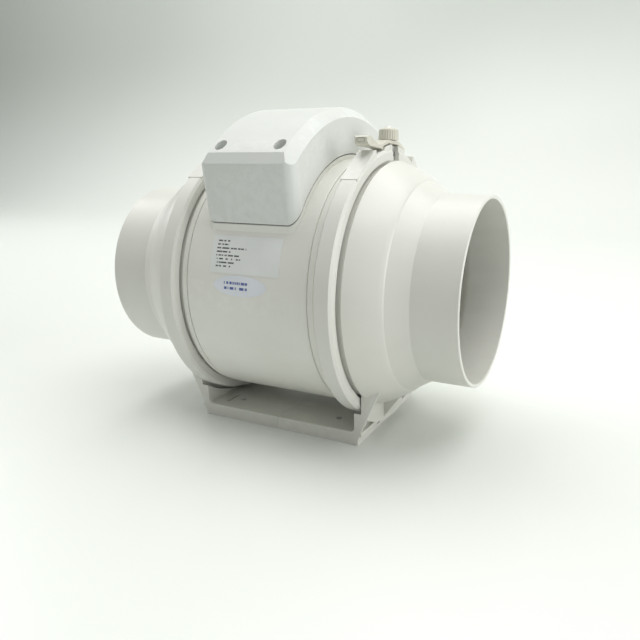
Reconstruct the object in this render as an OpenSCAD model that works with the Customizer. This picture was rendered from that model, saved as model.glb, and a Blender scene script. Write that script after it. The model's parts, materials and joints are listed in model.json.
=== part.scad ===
// Inline mixed-flow duct fan on a base, with a removable motor section held by
// two clamp bands. X runs along the fan's axis towards the outlet, Z is up, and
// the origin lies on the mounting surface under the middle of the fan.

/* [Duct] */
// Outside diameter of both spigots
spigot_d = 123; // [110:1:150]
// Length of each straight spigot
spigot_len = 29.5; // [20:0.5:45]
// Wall of the spigots, cones and motor casing
shell_wall = 2.4; // [1.8:0.1:3]
// Axial length from a flange joint to the start of the spigot
cone_len = 43.5; // [38:0.5:60]
// Part of the cone's drop that its domed half takes
dome_share = 0.556; // [0.4:0.01:0.7]

/* [Motor casing] */
// Outside diameter of the motor casing
casing_d = 166.6; // [158:1:200]
// Distance between the two flange joints
joint_span = 115.6; // [112:0.5:142]
// Depth of the neck behind each flange
neck_depth = 3.1; // [2.5:0.1:4]
// Height of the flanges above the casing
flange_rise = 2.2; // [1.8:0.1:3]
// Thickness of the rubber seal between two flanges
seal_t = 1; // [0.8:0.1:1.5]

/* [Terminal box] */
// Width of the terminal box along the fan
box_w = 68; // [60:1:74]
// Depth of the terminal box across the fan, at its foot
box_d = 145; // [139:1:148]
// Outward lean of the box's front face, in degrees
box_lean = 7.5; // [5:0.5:9]
// Height of the box's crown above the casing
box_rise = 33.5; // [30:0.5:42]
// Radius of the arched top
crown_r = 117; // [110:1:128]
// Radius of the box's upright corners
box_corner = 7; // [6:0.5:10]
// Distance between the cover screws along the fan
cover_screw_x = 43; // [38:1:46]
// Distance of the front cover screws from the fan's axis
cover_screw_front = 68; // [66:0.5:69]
// Distance of the rear cover screws from the fan's axis
cover_screw_rear = 65; // [63:0.5:66]

/* [Base] */
// Width of the base across the fan
base_w = 100.6; // [90:1:112]
// Height of the top of the base plate
base_h = 9.1; // [8:0.1:12]
// Thickness of the base plate and the legs
base_t = 2.5; // [2:0.1:3.2]
// Inside length of the opening between the legs
window_l = 119.2; // [117:0.5:145]
// Spacing of the mounting holes along the fan
hole_x = 80; // [70:1:92]
// Spacing of the mounting holes across the fan
hole_y = 67; // [55:1:72]
// Diameter of the mounting holes
hole_d = 4.5; // [4:0.1:6]

/* [Clamps] */
// Turn of both clamp bands about the axis, towards the back
latch_turn = 6; // [0:1:12]
// Width of a clamp band
band_w = 12; // [11.5:0.1:12.6]
// Gap between the band's two lugs when closed
lug_gap = 10; // [9:0.5:12]
// Diameter of the clamp bolts
bolt_d = 4; // [3.5:0.5:4.5]
// Diameter of the knobs
knob_d = 13.5; // [12:0.5:15]
// Height of the knobs without their dome
knob_h = 6.6; // [6:0.2:9]

/* [Motor and impeller] */
// Outside diameter of the motor cup
motor_d = 76; // [70:1:84]
// Number of impeller blades
blades = 7; // [5:1:9]
// Number of guide vanes
vanes = 9; // [7:1:11]
// Diameter of the motor shaft
shaft_d = 8; // [7:0.5:9]
// Air gap between rotor and stator
air_gap = 0.4; // [0.3:0.05:0.6]

/* [Hidden] */
$fn = 96;

// Clearances
slip = 0.3;      // between faces that only lie near each other
pin_gap = 0.05;  // round a turning pin, shaft or bolt
seat = 0.1;      // round a part that sits in a pocket of the same body
cut = 1;         // how far a cutting shape passes a face

// Flanges and bands, as radii about the fan's axis
casing_r = casing_d / 2;
spigot_r = spigot_d / 2;
neck_r = casing_r - neck_depth;
neck_bore = neck_r - shell_wall;
flange_r = casing_r + flange_rise;
rim_half = 2.2;
root_half = 3.6;
channel_r = flange_r + 0.7;
band_wall = 3;
band_r = channel_r + band_wall;
band_foot_r = neck_r + 2.3;
joint_x = joint_span / 2;
shoulder_r = casing_r - 1.3;
shoulder_u = 9.4;
step_u = 30;
step_h = 1.3;

// Base and axis height
band_floor_gap = 1.5;
axis_h = base_h + band_floor_gap + band_r;
shelf_r = band_r + 2.8;
base_y = base_w / 2;
window_x = window_l / 2;
seam_gap = 0.2;
wall_u = 7;

// Terminal box
pedestal_r = casing_r + 2.8;
cover_r = pedestal_r + 0.7;
crown_z = casing_r + box_rise - crown_r;
box_chamfer = 6.5;
cover_wall = 2.4;
box_front_y = box_d / 2;
box_seam_z = sqrt(cover_r * cover_r - box_front_y * box_front_y);
cover_brow_y = box_front_y + 34 * tan(box_lean);
cover_back_z = crown_at(box_front_y);
deck_z = casing_r + 1.7;
well_r = 3.9;
post_r = 5.4;
boss_r = 4;
cover_screw_r = 1.7;
well_floor = 10;
well_z = crown_at(cover_screw_front) - well_floor;
cover_screw_ys = [-cover_screw_front, cover_screw_rear];
gland_x = 0;
gland_z = (box_seam_z + cover_back_z) / 2;
gland_r = 8;

// Motor and impeller
cup_r = motor_d / 2;
cup_x0 = -4;
cup_x1 = 42;
cup_wall = 2;
ring_r = neck_bore - slip;
ring_wall = 2;
stator_r = cup_r - cup_wall - seat;
rotor_r = stator_r * 0.54;
shaft_r = shaft_d / 2;
bearing_r = shaft_r + 7;
bearing_w = 7;
throat_r = spigot_r - 2;
hub_nose_x = -46;
hub_back_x = -7;
hub_nose_r = 21;
throat_x = -46;
shroud_end_x = -6.5;
blade_t = 2;

// Clamp latch, in the band's own frame with Z through the bolt
lug_y = lug_gap / 2;
lug_top = band_r + 2.8;
lug_end_y = 17;
lug_end_z = lug_top - 2.2;
lug_half_w = 5;
clip_gap = 0.5;
clip_t = 2.2;
clip_half_w = 4;
clip_flat_y = 8;
clip_under = lug_top + clip_gap + 0.3;
clip_top = clip_under + clip_t;
knob_z = clip_top + slip;
knob_top = knob_z + knob_h;
bolt_r = bolt_d / 2;
bolt_top = knob_top + 2.3;
insert_r = bolt_r + 1.6;
nut_z = lug_top - 3.2;
nut_h = 2.8;
foot_z = band_r - 1;
hinge_r = 1;
knuckle_r = 2.2;
hinge_z = band_r - 1.2;
knuckle_half = 2;
knuckle_gap = 0.3;

// Heights above the fan's axis at the distance y from it
function crown_at(y) = crown_z + sqrt(crown_r * crown_r - y * y);
function boss_top(y) = sqrt(pedestal_r * pedestal_r - y * y);

white = "#f1f3ef";
warm_white = "#e6e6df";
cream = "#deded2";
zinc = "#b9bcbc";
black_rubber = "#2c2c2e";
copper = "#b87333";

// ---- shared shapes ----

// Turns a profile of [radius, axial place] round the fan's axis. Angles start
// at the top and grow towards the front.
module turned(angle = 360, start = 0) {
    translate([0, 0, axis_h])
        rotate([start, 0, 0])
            rotate([0, 90, 0])
                rotate([0, 0, 180])
                    rotate_extrude(angle = angle) children();
}

// A plain ring about the fan's axis
module ring(r_out, r_in, x0, x1) {
    turned() translate([r_in, x0]) square([r_out - r_in, x1 - x0]);
}

// A rod about the fan's axis
module rod(r, x0, x1) {
    translate([x0, 0, axis_h]) rotate([0, 90, 0]) cylinder(r = r, h = x1 - x0);
}

// Places a clamp's parts: Z through the bolt, X along the fan
module clamp_frame(side) {
    translate([side * joint_x, 0, axis_h]) rotate([-latch_turn, 0, 0]) children();
}

// Extrudes a [y, z] outline along X, centred
module across(width) {
    rotate([90, 0, 90]) translate([0, 0, -width / 2]) linear_extrude(width) children();
}

// Extrudes an [x, z] outline along Y from y0, towards +Y
module slab(y0, thickness) {
    translate([0, y0 + thickness, 0]) rotate([90, 0, 0]) linear_extrude(thickness) children();
}

// A rectangle with round corners
module round_rect(w, d, r) {
    union() {
        square([w - 2 * r, d], center = true);
        square([w, d - 2 * r], center = true);
        for (x = [-1, 1], y = [-1, 1])
            translate([x * (w / 2 - r), y * (d / 2 - r)]) circle(r = r);
    }
}

// Centre line of a curved blade: sideways offset at share t of its length
function blade_y(t, len, a_in, a_out) =
    len * (tan(a_in) * t - (tan(a_in) - tan(a_out)) * t * t / 2);

// Curved blade of constant thickness, standing radially along Z
module curved_blade(x0, len, a_in, a_out, thickness, height, steps = 8) {
    middle = blade_y(0.5, len, a_in, a_out);
    line = [for (i = [0:steps]) [x0 + len * i / steps, blade_y(i / steps, len, a_in, a_out) - middle]];
    lean = thickness / 2 / cos((a_in + a_out) / 2);
    linear_extrude(height)
        polygon(concat([for (p = line) [p[0], p[1] - lean]],
                       [for (i = [steps:-1:0]) [line[i][0], line[i][1] + lean]]));
}

// ---- end housings: spigot, cone, flange, leg and half of the base ----

function dome_point(t, inset) = [
    shoulder_r - dome_share * (shoulder_r - spigot_r) * t + 4 * t * (1 - t) - inset,
    shoulder_u + (step_u - shoulder_u) * t
];
step_r = shoulder_r - dome_share * (shoulder_r - spigot_r);
mouth_u = cone_len + spigot_len;
lip = 0.5;
slope_wall = shell_wall * 1.14;
dome_steps = 8;

function shell_outside() = concat(
    [[flange_r, seal_t / 2], [flange_r, rim_half], [neck_r, root_half], [neck_r, shoulder_u - 2],
     [shoulder_r - 0.8, shoulder_u - 1.4]],
    [for (i = [0:dome_steps]) dome_point(i / dome_steps, 0)],
    [[step_r - step_h, step_u + 0.7], [spigot_r, cone_len], [spigot_r, mouth_u - lip],
     [spigot_r - lip, mouth_u]]);

function shell_inside() = concat(
    [[spigot_r - shell_wall + lip, mouth_u], [spigot_r - shell_wall, mouth_u - lip],
     [spigot_r - shell_wall, cone_len + 0.7], [step_r - step_h - slope_wall, step_u + 1]],
    [for (i = [dome_steps:-1:0]) dome_point(i / dome_steps, slope_wall)],
    [[neck_bore, shoulder_u - 2.4], [neck_bore, seal_t / 2]]);

module housing_shell() {
    translate([joint_x, 0, 0]) turned() polygon(concat(shell_outside(), shell_inside()));
}

// Everything inside the shell's wall, used to trim the leg
module housing_airway() {
    inside = shell_inside();
    translate([joint_x, 0, 0])
        turned() polygon(concat([[0, mouth_u + cut], [inside[0][0], mouth_u + cut]], inside,
                                [[inside[len(inside) - 1][0], -cut], [0, -cut]]));
}

leg_foot_x = window_x - 2.4;
leg_tip_x = joint_x + 21.7;
leg_tip_z = axis_h - 55.3;
function leg_edge_x(z) = leg_foot_x + 8.1 + (z - 12.1) * (leg_tip_x - leg_foot_x - 8.1) / (leg_tip_z - 12.1);

// Side plate of the leg and base, as an [x, z] outline
module leg_outline() {
    difference() {
        polygon([[seam_gap / 2, 0], [leg_foot_x, 0], [leg_foot_x + 3, 1.2], [leg_foot_x + 5.2, 4.3],
                 [leg_edge_x(12.1), 12.1], [leg_tip_x, leg_tip_z], [leg_tip_x, axis_h - 30],
                 [joint_x + wall_u, axis_h - 30], [seam_gap / 2, axis_h - 30]]);
        union() {
            translate([-cut, base_h + 3]) square([window_x + cut, axis_h]);
            translate([-cut, base_h]) square([window_x - 3 + cut, axis_h]);
            translate([window_x - 3, base_h + 3]) circle(r = 3);
            translate([-cut, base_h + 5]) square([window_x + cut, axis_h]);
        }
    }
}

// Region outside a clamp band's reach
module band_reach() {
    translate([joint_x, 0, 0])
        turned() translate([0, -band_w / 2 - 4]) square([shelf_r, band_w / 2 + 4 + wall_u]);
}

module leg_and_base() {
    shell_reach = shoulder_r - 1;
    difference() {
        union() {
            for (y = [-base_y, base_y - base_t]) slab(y, base_t) leg_outline();
            translate([seam_gap / 2, -base_y, base_h - base_t])
                cube([joint_x + wall_u - seam_gap / 2, base_w, base_t]);
            // transverse wall: low part under the band, shelf round it, high part to the cone
            translate([window_x, -base_y, 0]) cube([base_t, base_w, axis_h - 60]);
            intersection() {
                translate([joint_x, 0, 0])
                    turned(angle = 80, start = 140)
                        translate([shelf_r, window_x - joint_x])
                            square([base_t, wall_u + base_t - window_x + joint_x]);
                translate([0, -base_y, 0]) cube([axis_h, base_w, axis_h]);
            }
            translate([joint_x + wall_u, -base_y, 20]) cube([base_t, base_w, axis_h - 60 - 20 + 6]);
            intersection() {
                translate([joint_x + wall_u, -base_y, base_h - base_t]) cube([base_t, base_w, 30]);
                translate([joint_x, 0, 0])
                    turned(angle = 80, start = 140)
                        translate([shelf_r - 14, wall_u]) square([14 + base_t, base_t]);
            }
            // ribs that stiffen the leg
            for (y = [-17 - base_t / 2, 17 - base_t / 2])
                slab(y, base_t)
                    polygon([[window_x + 0.5, 0], [window_x + 1, 0], [leg_tip_x + 1.2, 28.2],
                             [leg_tip_x + 1.2, 40], [window_x + 0.5, 40]]);
            for (y = [-1, 1])
                translate([hole_x / 2, y * hole_y / 2, 0]) cylinder(r = hole_d / 2 + 3, h = base_h);
        }
        band_reach();
        housing_airway();
        leg_overshoot();
        for (y = [-1, 1])
            translate([hole_x / 2, y * hole_y / 2, -cut]) cylinder(r = hole_d / 2, h = base_h + 2 * cut);
        // wiring slot
        translate([48, 27, base_h - base_t - cut]) cube([1.2, 15.4, base_t + 2 * cut]);
        // pocket for the other half's tongue
        translate([-cut, -tongue_y - tongue_w / 2 - slip, base_h - base_t - cut])
            cube([tongue_l + slip + cut, tongue_w + 2 * slip, base_t + 2 * cut]);
        translate([-cut, -base_y - cut, -cut]) cube([cut + seam_gap / 2, tongue_y + base_y, axis_h]);
    }
    translate([-tongue_l, tongue_y - tongue_w / 2, base_h - base_t])
        cube([tongue_l + 4, tongue_w, base_t]);
    translate([-tongue_l, tongue_y - tongue_w / 2, base_h - base_t - 2]) cube([2.5, tongue_w, 2.5]);
}
tongue_y = 20;
tongue_w = 9;
tongue_l = 14;

// Everything above the cone's outside that the leg must not reach
module leg_overshoot() {
    translate([0, -base_y - cut, axis_h - 50]) cube([axis_h, base_w + 2 * cut, axis_h]);
    slab(-base_y - cut, base_w + 2 * cut)
        polygon([[leg_tip_x, leg_tip_z], [leg_tip_x + 30, leg_tip_z], [leg_tip_x + 30, axis_h],
                 [leg_tip_x, axis_h]]);
}

module housing() {
    color(warm_white) union() {
        housing_shell();
        leg_and_base();
    }
}

module outlet_housing() housing();
module inlet_housing() rotate([0, 0, 180]) housing();

// ---- motor casing ----

band_edge_x = joint_x - 8;
body_end_x = joint_x - 13;
collar_r = ring_r + slip;
module casing_profile() {
    bore = casing_r - shell_wall;
    half = [[flange_r, joint_x - seal_t / 2], [flange_r, joint_x - rim_half], [neck_r, joint_x - root_half],
            [neck_r, band_edge_x + 0.5], [casing_r - 1.6, band_edge_x], [casing_r - 0.6, band_edge_x - 1],
            [casing_r - 0.6, body_end_x + 0.5], [casing_r - 1.2, body_end_x + 0.5],
            [casing_r - 1.2, body_end_x - 0.3], [casing_r - 0.5, body_end_x - 0.3],
            [casing_r, body_end_x - 1.2]];
    union() {
        polygon(concat(half, [for (i = [len(half) - 1:-1:0]) [half[i][0], -half[i][1]]],
                       [[neck_bore, -joint_x + seal_t / 2], [neck_bore, -band_edge_x],
                        [bore, -band_edge_x + 4], [bore, band_edge_x - 4],
                        [neck_bore, band_edge_x], [neck_bore, joint_x - seal_t / 2]]));
        // inner collars that carry the shroud and the guide vane ring
        translate([collar_r, -9]) square([bore - collar_r + 0.5, 6]);
        translate([collar_r, 34]) square([bore - collar_r + 0.5, 6]);
    }
}

// Walls of the terminal box, filled and shrunk by inset; the front leans out
module box_body(inset) {
    far = 2 * box_d;
    intersection() {
        translate([0, -box_front_y, axis_h + box_seam_z]) rotate([box_lean, 0, 0])
            translate([0, far / 2 + inset, -far / 4]) linear_extrude(far)
                round_rect(box_w - 2 * inset, far, box_corner - inset);
        translate([0, box_front_y - inset - far / 2, axis_h]) linear_extrude(casing_d)
            round_rect(box_w - 2 * inset, far, box_corner - inset);
    }
}

module motor_casing() {
    color(white) difference() {
        union() {
            turned() casing_profile();
            // pedestal of the terminal box
            intersection() {
                difference() {
                    box_body(0);
                    box_body(cover_wall);
                }
                ring(pedestal_r, casing_r - 1, -box_w, box_w);
            }
            // deck for the terminal block and capacitor
            translate([-24, -34, axis_h + casing_r - 12]) cube([48, 28, 12 + deck_z - casing_r]);
            translate([-20, 20, axis_h + casing_r - 12]) cube([40, 16, 12 + deck_z - casing_r]);
            // bosses for the cover screws
            intersection() {
                box_body(0.5);
                rod(pedestal_r - 0.3, -box_w, box_w);
                for (x = [-1, 1], y = cover_screw_ys)
                    translate([x * cover_screw_x / 2, y, axis_h + boss_top(y) - 12])
                        cylinder(r = boss_r, h = 18);
            }
        }
        rod(collar_r, -joint_x - cut, joint_x + cut);
        for (x = [-1, 1], y = cover_screw_ys)
            translate([x * cover_screw_x / 2, y, axis_h + boss_top(y) - 7])
                cylinder(r = cover_screw_r + pin_gap, h = 16);
        translate([lead_x, 0, axis_h + neck_bore - 5]) cylinder(r = grommet_r + seat, h = 30);
    }
}

// ---- inside: shroud, guide vanes, motor and impeller ----

function shroud_r(x) = throat_r + (ring_r - ring_wall - throat_r) * pow((x - throat_x) / (shroud_end_x - throat_x), 1.4);
function hub_r(x) = hub_nose_r + (cup_r - hub_nose_r) * pow((x - hub_nose_x) / (hub_back_x - hub_nose_x), 0.8);
curve_steps = 8;
function along(x0, x1, i) = x0 + (x1 - x0) * i / curve_steps;

module impeller_shroud() {
    inner = [for (i = [0:curve_steps])
                let (x = along(throat_x, shroud_end_x, i)) [shroud_r(x), x]];
    outer = [for (i = [curve_steps:-1:0])
                let (x = along(throat_x, shroud_end_x, i)) [shroud_r(x) + ring_wall, x]];
    seat_x = -joint_x + seal_t / 2 + 1;
    color(white) turned()
        polygon(concat([[ring_r, seat_x], [throat_r + 3, seat_x], [throat_r + 0.8, throat_x - 3]],
                       inner, outer,
                       [[throat_r + 3.2, throat_x - 4], [throat_r + 5, seat_x + 2], [ring_r, seat_x + 2]]));
}

// Places the motor cover's screws: Z along the fan, measured from its middle
module motor_screw_places() {
    for (i = [0:2])
        translate([0, 0, axis_h]) rotate([i * 120 + 60, 0, 0])
            translate([0, 0, cup_r - cup_wall - 2.6]) rotate([0, 90, 0]) children();
}
motor_screw_r = 1.3;

module guide_vanes() {
    vane_x0 = 1;
    vane_len = 37;
    color(warm_white) difference() {
        union() {
            ring(ring_r, ring_r - ring_wall, shroud_end_x + slip, 40);
            ring(cup_r, cup_r - cup_wall, cup_x0, cup_x1);
            ring(cup_r - 1, bearing_r + seat, cup_x0, cup_x0 + 2.5);
            ring(bearing_r + 2.5, bearing_r + seat, cup_x0, cup_x0 + bearing_w + 1);
            for (i = [0:vanes - 1])
                translate([0, 0, axis_h]) rotate([(i + 0.5) * 360 / vanes, 0, 0])
                    translate([0, 0, cup_r - cup_wall + seat])
                        curved_blade(vane_x0, vane_len, -38, 0, blade_t, ring_r - cup_r + cup_wall - 1.2 - seat);
            motor_screw_places() translate([0, 0, cup_x1 - 12]) cylinder(r = 3.2, h = 12);
        }
        rod(bearing_r + seat, cup_x0 - cut, cup_x0 + bearing_w + 2);
        motor_screw_places() translate([0, 0, cup_x1 - 9]) cylinder(r = motor_screw_r + pin_gap, h = 9 + cut);
        // way out for the motor lead
        translate([lead_x, 0, axis_h + cup_r - 6]) cylinder(r = lead_r + seat, h = casing_r);
    }
}

module motor_end_cover() {
    color(warm_white) difference() {
        turned() polygon([[0, cup_x1 + 8], [cup_r * 0.55, cup_x1 + 7], [cup_r * 0.85, cup_x1 + 4.6],
                          [cup_r, cup_x1 + 1.6], [cup_r, cup_x1 + 0.1], [bearing_r + 2.5, cup_x1 + 0.1],
                          [bearing_r + 2.5, cup_x1 - 7], [bearing_r + seat, cup_x1 - 7],
                          [bearing_r + seat, cup_x1 + 2], [0, cup_x1 + 2]]);
        motor_screw_places() {
            cylinder(r = motor_screw_r + pin_gap, h = joint_span);
            translate([0, 0, cup_x1 + 2.6]) cylinder(r = 3, h = joint_span);
        }
    }
}

module motor_cover_screws() {
    color(zinc) motor_screw_places() union() {
        translate([0, 0, cup_x1 - 6]) cylinder(r = motor_screw_r, h = 9);
        translate([0, 0, cup_x1 + 2.65]) cylinder(r = 2 * motor_screw_r, h = 1.8);
    }
}

stator_x0 = cup_x0 + 13;
stator_x1 = stator_x0 + 15;
module stator_core() {
    color("#8d9093") difference() {
        ring(stator_r, rotor_r + air_gap, stator_x0, stator_x1);
        for (i = [0:7])
            translate([0, 0, axis_h]) rotate([i * 45 + 22.5, 0, 0])
                translate([stator_x0 - cut, -2, rotor_r + 3])
                    cube([stator_x1 - stator_x0 + 2 * cut, 4, 5]);
    }
}

module stator_windings() {
    color(copper) {
        ring(stator_r - 7.4, rotor_r + 1.6, stator_x0 - 5.6, stator_x0 - 0.1);
        ring(stator_r - 7.4, rotor_r + 1.6, stator_x1 + 0.1, stator_x1 + 5.6);
    }
}

module rotor_core() {
    color("#7f8285") ring(rotor_r, shaft_r, stator_x0 - 1, stator_x1 + 1);
}

module motor_shaft() {
    color(zinc) union() {
        rod(shaft_r, cup_x0 - 24, cup_x1 + 1.2);
        rod(shaft_r - 1, hub_nose_x + 2, cup_x0 - 24);
    }
}

module bearing(x0) {
    color(zinc) union() {
        ring(bearing_r, bearing_r - 2, x0, x0 + bearing_w);
        ring(bearing_r - 1.9, shaft_r + 1.9, x0 + 1, x0 + bearing_w - 1);
        ring(shaft_r + 2, shaft_r + pin_gap, x0, x0 + bearing_w);
    }
}
module front_bearing() bearing(cup_x0 + 0.5);
module rear_bearing() bearing(cup_x1 - 6.5);

module impeller() {
    hub_out = [for (i = [0:curve_steps]) let (x = along(hub_nose_x, hub_back_x, i)) [hub_r(x), x]];
    hub_in = [for (i = [curve_steps:-1:1]) let (x = along(hub_nose_x, hub_back_x, i)) [hub_r(x) - 2, x]];
    tips = [for (i = [curve_steps:-1:0]) let (x = along(throat_x + 1, hub_back_x - 3, i)) [shroud_r(x) - 1, x]];
    roots = [for (i = [0:curve_steps]) let (x = along(throat_x + 1, hub_back_x - 3, i)) [hub_r(x) - 1, x]];
    color(white) difference() {
        union() {
            // hub shell with its web and boss
            turned() polygon(concat([[shaft_r - 1, hub_nose_x + 8], [14, hub_nose_x + 8], [14, hub_nose_x - 1.4],
                                     [hub_nose_r - 2, hub_nose_x - 1]], hub_out, hub_in,
                                    [[hub_nose_r, hub_nose_x + 11], [10, hub_nose_x + 11], [10, cup_x0 - 2],
                                     [shaft_r - 1, cup_x0 - 2]]));
            intersection() {
                union() {
                    for (i = [0:blades - 1])
                        translate([0, 0, axis_h]) rotate([i * 360 / blades, 0, 0])
                            curved_blade(throat_x - 1, hub_back_x - throat_x - 1, 52, 28, blade_t, casing_r);
                }
                turned() polygon(concat(roots, tips));
            }
        }
        rod(shaft_r + 0.02, cup_x0 - 24.1, 0);
        rod(shaft_r - 0.98, hub_nose_x - 10, 0);
    }
}

module impeller_nut() {
    color(zinc) difference() {
        translate([hub_nose_x + 3.6, 0, axis_h]) rotate([0, 90, 0]) cylinder(r = 6.5, h = 4.2, $fn = 6);
        rod(shaft_r - 0.98, hub_nose_x - 10, 0);
    }
}

module joint_seal(side) {
    color(black_rubber)
        ring(flange_r - 1.5, neck_bore + 0.4, side * joint_x - seal_t / 2 + 0.01, side * joint_x + seal_t / 2 - 0.01);
}
module inlet_seal() joint_seal(-1);
module outlet_seal() joint_seal(1);

// ---- terminal box ----

// Solid of the arched cover, shrunk by inset on every side
module cover_solid(inset) {
    half = box_w / 2 - inset;
    top = crown_r - inset;
    edge = box_chamfer - inset * 0.4;
    brow_y = cover_brow_y - inset;
    brow_z = axis_h + crown_at(cover_brow_y) - 3.2 - inset / 4;
    back_y = box_front_y - inset;
    back_z = axis_h + cover_back_z - 3.2 - inset / 4;
    intersection() {
        box_body(inset);
        translate([0, 0, crown_z])
            turned() polygon([[0, -half], [top - edge, -half], [top, -half + edge], [top, half - edge],
                              [top - edge, half], [0, half]]);
        // soft brows over the front and the back
        across(box_w)
            polygon([[-brow_y - 4, axis_h], [-brow_y - 4, brow_z - 7.3], [-brow_y + 6, brow_z + 11],
                     [0, brow_z + 50], [back_y - 6, back_z + 11], [back_y + 4, back_z - 7.3], [back_y + 4, axis_h]]);
    }
}

module cover_screw_places(ys = cover_screw_ys) {
    for (x = [-1, 1], y = ys)
        translate([x * cover_screw_x / 2, y, axis_h]) children();
}

module terminal_cover() {
    color(white) difference() {
        union() {
            difference() {
                cover_solid(0);
                cover_solid(cover_wall);
            }
            intersection() {
                cover_solid(0.5);
                cover_screw_places() translate([0, 0, boss_top(cover_screw_front)]) cylinder(r = post_r, h = 60);
            }
        }
        rod(cover_r, -box_w, box_w);
        cover_screw_places() {
            translate([0, 0, well_z]) cylinder(r = well_r, h = 40);
            cylinder(r = cover_screw_r + pin_gap, h = 200);
        }
        // round hole for the cable gland
        translate([gland_x, box_front_y - 10, axis_h + gland_z]) rotate([-90, 0, 0])
            cylinder(r = gland_r + pin_gap, h = 20);
    }
}

module cover_seal() {
    color(black_rubber) intersection() {
        difference() {
            box_body(0.4);
            box_body(cover_wall - 0.3);
        }
        ring(cover_r - 0.02, pedestal_r + 0.02, -box_w, box_w);
    }
}

module cover_screws() {
    color(zinc) for (y = cover_screw_ys) cover_screw_places([y]) union() {
        translate([0, 0, boss_top(y) - 6]) cylinder(r = cover_screw_r, h = well_z - boss_top(y) + 6.5);
        difference() {
            translate([0, 0, well_z + 0.02]) cylinder(r = well_r - 0.4, h = 2.4);
            translate([-0.45, -2.2, well_z + 1.4]) cube([0.9, 4.4, 2]);
            translate([-2.2, -0.45, well_z + 1.4]) cube([4.4, 0.9, 2]);
        }
    }
}

block_l = 40;
module terminal_block() {
    color("#e9e6da") difference() {
        translate([-block_l / 2, -30, axis_h + deck_z + 0.02]) union() {
            cube([block_l, 18, 8]);
            translate([0, 4, 0]) cube([block_l, 10, 14]);
        }
        for (i = [0:3]) {
            translate([-15 + i * 10, -21, axis_h + deck_z + 6]) cylinder(r = 2.1, h = 20);
            translate([-15 + i * 10, -40, axis_h + deck_z + 4]) rotate([-90, 0, 0]) cylinder(r = 1.6, h = 40);
        }
    }
}

module terminal_screws() {
    color("#c9b46a") for (i = [0:3])
        difference() {
            translate([-15 + i * 10, -21, axis_h + deck_z + 6.1]) cylinder(r = 1.9, h = 6);
            translate([-15 + i * 10 - 2, -21.3, axis_h + deck_z + 11]) cube([4, 0.6, 2]);
        }
}

cap_r = 9;
cap_y = 28;
cap_z = deck_z + cap_r + 1.2;
module run_capacitor() {
    color("#f2f2f0") translate([-19, cap_y, axis_h + cap_z]) rotate([0, 90, 0]) union() {
        cylinder(r = cap_r, h = 36);
        translate([0, 0, 36]) cylinder(r = cap_r - 2, h = 1.2);
        for (y = [-3, 3]) translate([0, y, 37]) cylinder(r = 0.8, h = 4);
    }
}

module capacitor_clip() {
    color("#d9d9d4") difference() {
        translate([-4, cap_y, axis_h + cap_z]) rotate([0, 90, 0]) cylinder(r = cap_r + 1.1, h = 8);
        translate([-5, cap_y, axis_h + cap_z]) rotate([0, 90, 0]) cylinder(r = cap_r + 0.05, h = 10);
        translate([-5, cap_y - 5, axis_h + cap_z + 4]) cube([10, 10, 12]);
    }
}

module cable_gland() {
    wall_y = box_front_y;
    color("#d6d8d4") difference() {
        union() {
            translate([gland_x, wall_y - cover_wall - 6, axis_h + gland_z]) rotate([-90, 0, 0])
                cylinder(r = gland_r, h = cover_wall + 8);
            translate([gland_x, wall_y + 0.02, axis_h + gland_z]) rotate([-90, 0, 0])
                cylinder(r = gland_r + 3, h = 4, $fn = 6);
            translate([gland_x, wall_y + 4, axis_h + gland_z]) rotate([-90, 0, 0])
                cylinder(r1 = gland_r + 1.6, r2 = gland_r - 1, h = 9);
        }
        translate([gland_x, wall_y - 20, axis_h + gland_z]) rotate([-90, 0, 0]) cylinder(r = 4, h = 40);
    }
}

module gland_nut() {
    color("#d6d8d4") difference() {
        translate([gland_x, box_front_y - cover_wall - 4.1, axis_h + gland_z]) rotate([-90, 0, 0])
            cylinder(r = gland_r + 3, h = 4, $fn = 6);
        translate([gland_x, box_front_y - 20, axis_h + gland_z]) rotate([-90, 0, 0])
            cylinder(r = gland_r + pin_gap, h = 30);
    }
}

lead_x = 27;
lead_r = 2.4;
grommet_r = 4.2;
module motor_lead() {
    color("#e4e4e0") translate([lead_x, 0, axis_h + cup_r - 5]) cylinder(r = lead_r, h = casing_r - cup_r + 16);
}

module lead_grommet() {
    color(black_rubber) difference() {
        translate([lead_x, 0, axis_h + casing_r - shell_wall - 1.2]) cylinder(r = grommet_r, h = shell_wall + 2.6);
        translate([lead_x, 0, axis_h]) cylinder(r = lead_r + 0.02, h = casing_d);
    }
}

// ---- labels ----

label_t = 0.25;
module rating_label() {
    color("#fbfbfa") turned(angle = 16.6, start = 61.6)
        translate([casing_r + 0.02, -26]) square([label_t, 51]);
}

module test_sticker() {
    color("#eef0f4") intersection() {
        turned(angle = 12, start = 77) translate([casing_r + 0.02, -30]) square([label_t, 60]);
        translate([-3, 0, axis_h + casing_r * sin(6.7)]) rotate([90, 0, 0])
            linear_extrude(casing_d)
                polygon([for (a = [0:10:350]) [19.7 * cos(a), 6.6 * sin(a)]]);
    }
}

// ---- clamps ----

// Band section as [radius, axial place] with the flange channel inside
module band_section() {
    half = band_w / 2;
    polygon([[band_foot_r, -half], [band_r - 1.7, -half], [band_r, -half + 1.5], [band_r, half - 1.5],
             [band_r - 1.7, half], [band_foot_r, half], [band_foot_r, root_half - 0.15],
             [channel_r, rim_half + 0.2], [channel_r, -rim_half - 0.2], [band_foot_r, -root_half + 0.15]]);
}

// The arcs start inside the lug's cut face, which trims them
lug_angle = asin((lug_y - 2) / band_r);
hinge_angle = asin((knuckle_r + 0.8) / band_foot_r);

// Half band on the +Y side, in the clamp's own frame
module half_band() {
    rotate([-lug_angle, 0, 0]) rotate([0, 90, 0]) rotate([0, 0, 180])
        mirror([0, 1, 0])
            rotate_extrude(angle = 180 - lug_angle - hinge_angle) band_section();
}

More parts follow.
